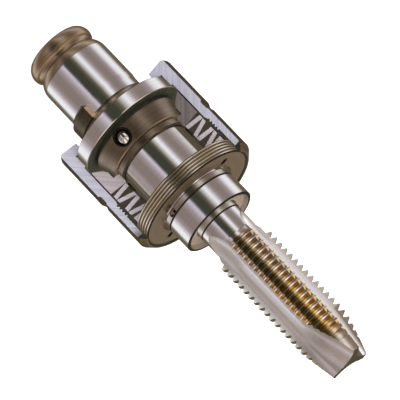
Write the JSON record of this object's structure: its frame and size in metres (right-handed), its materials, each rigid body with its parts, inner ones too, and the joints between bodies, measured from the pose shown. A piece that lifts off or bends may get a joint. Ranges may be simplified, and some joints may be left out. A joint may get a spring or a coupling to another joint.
{
  "type": "tapping collet",
  "caption": "Torque-limiting quick-change tapping collet, cut open to show its ball clutch and disc springs, with a spiral-point machine tap locked in its nose.",
  "frame": {"origin": "on the axis, where the plain shank meets the rear end of the drive lug", "axes": "+Z along the axis from the drive shank towards the tap's point, -Y towards the middle of the cutaway window, +X to the right of someone who looks into the window with the tap up"},
  "size_m": [0.057, 0.0534, 0.1728],
  "materials": {
    "shank_steel": "ground and polished, bronze-grey where it is turned",
    "spindle_steel": "cylindrically ground and polished",
    "bronze": "turned bearing bronze",
    "spring_steel": "hardened, lightly tumbled",
    "ring_steel": "hardened and ground",
    "ball_steel": "polished bearing steel",
    "nut_steel": "turned, browned",
    "black_steel": "black oxide outside, pale machined section faces",
    "sleeve_steel": "turned and satin ground",
    "tap_steel": "ground high-speed steel, straw-coloured thread"
  },
  "bodies": {
    "drive": {"drive_shank": "shank_steel", "pilot_bush": "bronze", "housing": "black_steel", "disc_spring_1": "spring_steel", "disc_spring_2": "spring_steel", "disc_spring_3": "spring_steel", "disc_spring_4": "spring_steel"},
    "driven_spindle": {"spindle": "spindle_steel", "spindle_snap_ring": "spring_steel", "stop_ring": "sleeve_steel", "stop_ring_grub_screw": "black_steel", "sleeve_spring": "spring_steel", "sleeve_stop": "spring_steel"},
    "cam_ring": {"thrust_ring": "ring_steel"},
    "detent_1": {"clutch_ball_1": "ball_steel"},
    "detent_2": {"clutch_ball_2": "ball_steel"},
    "detent_3": {"clutch_ball_3": "ball_steel"},
    "seat": {"spring_seat": "ring_steel"},
    "nut": {"adjusting_nut": "nut_steel"},
    "sleeve": {"release_sleeve": "sleeve_steel"},
    "grip_1": {"lock_ball_1": "ball_steel"},
    "grip_2": {"lock_ball_2": "ball_steel"},
    "grip_3": {"lock_ball_3": "ball_steel"},
    "tool": {"tap": "tap_steel"}
  },
  "joints": [
    {"name": "clutch_slip", "type": "hinge", "parent": "drive", "child": "driven_spindle", "pos_m": [0, 0, 0], "axis": [0, 0, 1], "continuous": true},
    {"name": "thrust_ring_slide", "type": "slide", "parent": "drive", "child": "cam_ring", "axis": [0, 0, 1], "range_m": [0, 0.0017], "stiffness_N_per_m": 20000, "springref_m": -0.0005, "deforming": ["disc_spring_1", "disc_spring_2", "disc_spring_3", "disc_spring_4"]},
    {"name": "clutch_ball_1_lift", "type": "slide", "parent": "drive", "child": "detent_1", "axis": [0.247, -0.969, 0], "range_m": [0, 0.00119]},
    {"name": "clutch_ball_2_lift", "type": "slide", "parent": "drive", "child": "detent_2", "axis": [0.7157, 0.6984, 0], "range_m": [0, 0.00119]},
    {"name": "clutch_ball_3_lift", "type": "slide", "parent": "drive", "child": "detent_3", "axis": [-0.9627, 0.2706, 0], "range_m": [0, 0.00119]},
    {"name": "spring_seat_slide", "type": "slide", "parent": "drive", "child": "seat", "axis": [0, 0, 1], "range_m": [0, 0.0015]},
    {"name": "nut_turn", "type": "hinge", "parent": "seat", "child": "nut", "pos_m": [0, 0, 0.0484], "axis": [0, 0, 1], "range_deg": [0, 360]},
    {"name": "sleeve_slide", "type": "slide", "parent": "driven_spindle", "child": "sleeve", "axis": [0, 0, 1], "range_m": [0, 0.0015], "stiffness_N_per_m": 2000, "springref_m": -0.001, "deforming": ["sleeve_spring"]},
    {"name": "lock_ball_1_lift", "type": "slide", "parent": "driven_spindle", "child": "grip_1", "axis": [0, -1, 0], "range_m": [0, 0.0005]},
    {"name": "lock_ball_2_lift", "type": "slide", "parent": "driven_spindle", "child": "grip_2", "axis": [0.866, 0.5, 0], "range_m": [0, 0.0005]},
    {"name": "lock_ball_3_lift", "type": "slide", "parent": "driven_spindle", "child": "grip_3", "axis": [-0.866, 0.5, 0], "range_m": [0, 0.0005]},
    {"name": "tap_release", "type": "slide", "parent": "driven_spindle", "child": "tool", "axis": [0, 0, 1], "range_m": [0, 0.05]}
  ],
  "couplings": [
    {"joint": "clutch_ball_1_lift", "follows": "thrust_ring_slide", "ratio": 0.7},
    {"joint": "clutch_ball_2_lift", "follows": "thrust_ring_slide", "ratio": 0.7},
    {"joint": "clutch_ball_3_lift", "follows": "thrust_ring_slide", "ratio": 0.7},
    {"joint": "spring_seat_slide", "follows": "nut_turn", "m_per_rad": 0.00023873},
    {"joint": "lock_ball_1_lift", "follows": "sleeve_slide", "ratio": 0.3333},
    {"joint": "lock_ball_2_lift", "follows": "sleeve_slide", "ratio": 0.3333},
    {"joint": "lock_ball_3_lift", "follows": "sleeve_slide", "ratio": 0.3333}
  ]
}
